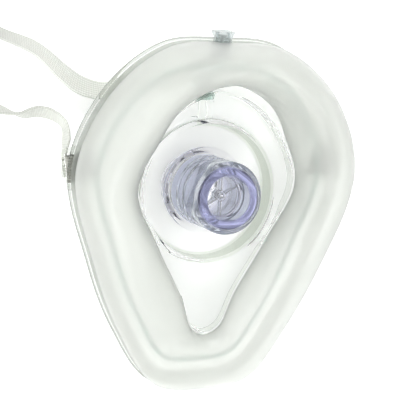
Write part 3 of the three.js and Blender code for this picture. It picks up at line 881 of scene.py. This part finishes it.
plunger = turned_solid("stub_plunger", [
    (0, PLUNGER_HEAD - 1), (1.7, PLUNGER_HEAD - 1), (1.7, PLUNGER_HEAD),
    (PLUNGER_STEM_R, PLUNGER_HEAD), (PLUNGER_STEM_R, STEM_TIP - 1.9), (1.6, STEM_TIP - 1.9),
    (1.6, STEM_TIP - 0.9), (0, STEM_TIP - 0.9),
], on_stem, radius=0.15, steps=32)
dress(plunger, "plunger", "plunger_white", "inflation_plunger")

# ---- oxygen inlet --------------------------------------------------------------------------------
NIPPLE_Z = -5.3
NIPPLE_ROOT = HUB_R + 1.8
NIPPLE_TIP = NIPPLE_ROOT + 14
NIPPLE_BORE_R = 1.4
ROOT_R = 4.2
TIP_R = 2.7
CAP_R = 4.2
CAP_MOUTH = NIPPLE_ROOT + 6.6
on_nipple = along_y(NIPPLE_Z, pitched=False)
barb = turned("oxygen_barb", [
    (NIPPLE_BORE_R, NIPPLE_ROOT), (ROOT_R, NIPPLE_ROOT), (ROOT_R, CAP_MOUTH - 0.5),
    (TIP_R, CAP_MOUTH - 0.5), (TIP_R, NIPPLE_TIP - 4), (TIP_R + 0.4, NIPPLE_TIP - 3.7),
    (TIP_R - 0.2, NIPPLE_TIP), (NIPPLE_BORE_R, NIPPLE_TIP),
], on_nipple, radius=0.3, steps=48)
dress(barb, "mask", "clear_shell", "oxygen_nipple")
dress(turned_solid("soft_cap", [
    (0, NIPPLE_TIP + 0.4), (TIP_R + 0.5, NIPPLE_TIP + 0.4), (TIP_R + 0.5, CAP_MOUTH),
    (CAP_R, CAP_MOUTH), (CAP_R, NIPPLE_TIP + 2), (0, NIPPLE_TIP + 2),
], on_nipple, radius=0.4, steps=48), "cap", "green_cap", "oxygen_cap")

# ---- strap lugs and the strap's ends -------------------------------------------------------------
LUG_THICKNESS = 1.4
LUG_BEVEL = 0.3
LUG_INNER_X = 44
LUG_OUTER_X = 54.4
LUG_HALF = 8
LUG_TURN = math.radians(-8)
FOOT_OUTER_X = 48.8
FOOT_HALF = 6
SLOT_INNER_X = 50.6
SLOT_OUTER_X = 53.3
SLOT_HALF = 5.6
LUG_EDGE = [
    (LUG_INNER_X, -LUG_HALF), (LUG_OUTER_X - 1, 0.5 - LUG_HALF), (LUG_OUTER_X, 2 - LUG_HALF),
    (LUG_OUTER_X, LUG_HALF - 2), (LUG_OUTER_X - 1, LUG_HALF - 0.5), (LUG_INNER_X, LUG_HALF),
]
LUG_SLOT = [
    (SLOT_INNER_X, -SLOT_HALF), (SLOT_OUTER_X, -SLOT_HALF),
    (SLOT_OUTER_X, SLOT_HALF), (SLOT_INNER_X, SLOT_HALF),
]
LUG_FOOT = [
    (LUG_INNER_X, -FOOT_HALF), (FOOT_OUTER_X, -FOOT_HALF),
    (FOOT_OUTER_X, FOOT_HALF), (LUG_INNER_X, FOOT_HALF),
]


def at_lug(points, sign):
    """Places a lug's points at its side of the flange."""
    x, y, z = np.asarray(points, float).T
    c, s = math.cos(LUG_TURN), math.sin(LUG_TURN)
    along = x - SLOT_INNER_X
    placed = [sign * (SLOT_INNER_X + along * c - y * s), along * s + y * c + LUG_Y, z + LUG_Z]
    return pitch(np.stack(placed, 1))


def bevelled_plate(outlines):
    """A mesh of a flat plate in metres, with bevelled edges, from (outline, corner radius) pairs."""
    curve = bpy.data.curves.new("lug_outline", "CURVE")
    curve.dimensions = "2D"
    curve.fill_mode = "BOTH"
    curve.extrude = (LUG_THICKNESS / 2 - LUG_BEVEL) / 1000
    curve.bevel_depth = LUG_BEVEL / 1000
    curve.bevel_resolution = 3
    curve.offset = -LUG_BEVEL / 1000
    for corners, radius in outlines:
        points = rounded_outline(corners, radius, 5)
        spline = curve.splines.new("POLY")
        spline.points.add(len(points) - 1)
        spline.use_cyclic_u = True
        for point, (x, y) in zip(spline.points, points):
            point.co = (x / 1000, y / 1000, 0, 1)
    holder = bpy.data.objects.new("lug_outline", curve)
    bpy.context.scene.collection.objects.link(holder)
    mesh = bpy.data.meshes.new_from_object(holder.evaluated_get(bpy.context.evaluated_depsgraph_get()))
    bpy.data.objects.remove(holder)
    return mesh


def lug(side, sign):
    """The slotted plate and the foot that joins it to the flange."""
    mesh = bevelled_plate([(LUG_EDGE, 1.4), (LUG_SLOT, 0.5)])
    co = read_all(mesh.vertices, "co", 3) * 1000 + [0, 0, LUG_THICKNESS / 2]
    mesh.vertices.foreach_set("co", in_metres(at_lug(co, sign)).ravel())
    plate = add_object(f"lug_{side}", mesh, 40)
    dress(outward(plate), "mask", "clear_shell", f"strap_lug_{side}", look=SATIN_CLEAR)
    foot = rounded_outline(LUG_FOOT, 1, 5)
    levels = (LUG_THICKNESS - 0.05, -FLANGE_THICKNESS - GAP - LUG_Z)
    points = at_lug([(x, y, z) for z in levels for x, y in foot], sign)
    block = new_piece(f"lug_foot_{side}", points, tube_faces(2, len(foot)), sharp=40)
    dress(outward(block), "mask", "clear_shell", look=SATIN_CLEAR)


TAIL_X = 42.6
FOLD_X = 49.3
UNDER = -GAP
OVER = LUG_THICKNESS + GAP
THROUGH = SLOT_OUTER_X - GAP
# The section of the strap's end, as (x, height over the lug's underside), and the rounding of each.
WRAP_PATH = [
    (TAIL_X, UNDER - STRAP_THICKNESS), (THROUGH, UNDER - STRAP_THICKNESS),
    (THROUGH, OVER + STRAP_THICKNESS), (FOLD_X, OVER + STRAP_THICKNESS), (FOLD_X, OVER),
    (THROUGH - STRAP_THICKNESS, OVER), (THROUGH - STRAP_THICKNESS, UNDER), (TAIL_X, UNDER),
]
WRAP_BENDS = [0.4, 0.8, 0.8, 0.4, 0.4, 0.3, 0.3, 0.4]
EDGE_THINNING = 0.06    # the strap's two edges are this much flatter


def wrap(side, sign):
    """The strap's end: under the lug, up through its slot and folded back over its bar."""
    outline = np.array(rounded_outline(WRAP_PATH, WRAP_BENDS, 5))
    across = np.array([-0.5, -0.48, -0.3, 0, 0.3, 0.48, 0.5]) * STRAP_WIDTH
    middle = outline.mean(0)
    rows = []
    for y in across:
        shrink = 1 - EDGE_THINNING * (abs(y) > 0.49 * STRAP_WIDTH)
        ring = middle + (outline - middle) * [1, shrink]
        rows.append(at_lug(np.column_stack([ring[:, 0], np.full(len(ring), y), ring[:, 1]]), sign))
    columns = len(outline)
    faces = tube_faces(len(rows), columns)
    obj = outward(new_piece(f"strap_end_{side}", np.concatenate(rows), faces, sharp=50))
    run = run_along(outline)
    knit_coordinates(obj, columns, lambda i, j: (across[i] / STRAP_WIDTH + 0.5, run[j] / PICK))
    # Its darker elastic is painted shade.
    dress(obj, "mask", "elastic", f"strap_wrap_{side}", look=SHADED_FOLD_ELASTIC)


for side, sign in (("left", -1), ("right", 1)):
    lug(side, sign)
    wrap(side, sign)

# ---- studio --------------------------------------------------------------------------------------
SKY_TOWARD = (-0.35, -0.1, 1)    # the sky is brightest this way
FLOOR_HALF = 3
LIGHTS = [    # name, place and size in metres, power in watts
    ("key", (-0.4, -0.9, 1.1), 0.6, 8),
    ("top", (0.1, 0.95, 0.9), 0.35, 4.5),
]
AIM = Vector((0, 0, 0.04))


def add_sky():
    world = bpy.data.worlds.new("studio")
    world.use_nodes = True
    sky = world.node_tree.nodes["Background"]
    sky.inputs["Color"].default_value = (1, 1, 1, 1)
    coords = node(world, "ShaderNodeTexCoord")
    toward = node(world, "ShaderNodeVectorMath")
    toward.operation = "DOT_PRODUCT"
    toward.inputs[1].default_value = SKY_TOWARD
    link(world, coords.outputs["Generated"], toward.inputs[0])
    link(world, ramp(world, toward.outputs["Value"], 0.0, 0.7, 0.5, 1.1), sky.inputs["Strength"])
    bpy.context.scene.world = world


def add_floor():
    half = FLOOR_HALF
    mesh = bpy.data.meshes.new("floor")
    corners = [(-half, -half, 0), (half, -half, 0), (half, half, 0), (-half, half, 0)]
    mesh.from_pydata(corners, [], [(0, 1, 2, 3)])
    floor = bpy.data.objects.new("floor", mesh)
    bpy.context.scene.collection.objects.link(floor)
    mat, shader = material("floor", (0.96, 0.96, 0.96), 0.9)
    tint(mat, shader, noise(mat, 3), (0.955, 0.955, 0.955), (0.965, 0.965, 0.965))
    shader.inputs["Emission Color"].default_value = (1, 1, 1, 1)
    shader.inputs["Emission Strength"].default_value = 0.36
    mesh.materials.append(mat)


def add_lights():
    for name, place, size, power in LIGHTS:
        data = bpy.data.lights.new(name, "AREA")
        data.size = size
        data.energy = power
        light = bpy.data.objects.new(name, data)
        light.location = place
        light.rotation_euler = (AIM - Vector(place)).to_track_quat("-Z", "Y").to_euler()
        bpy.context.scene.collection.objects.link(light)


bpy.context.scene.view_settings.view_transform = "Standard"
add_sky()
add_floor()
add_lights()
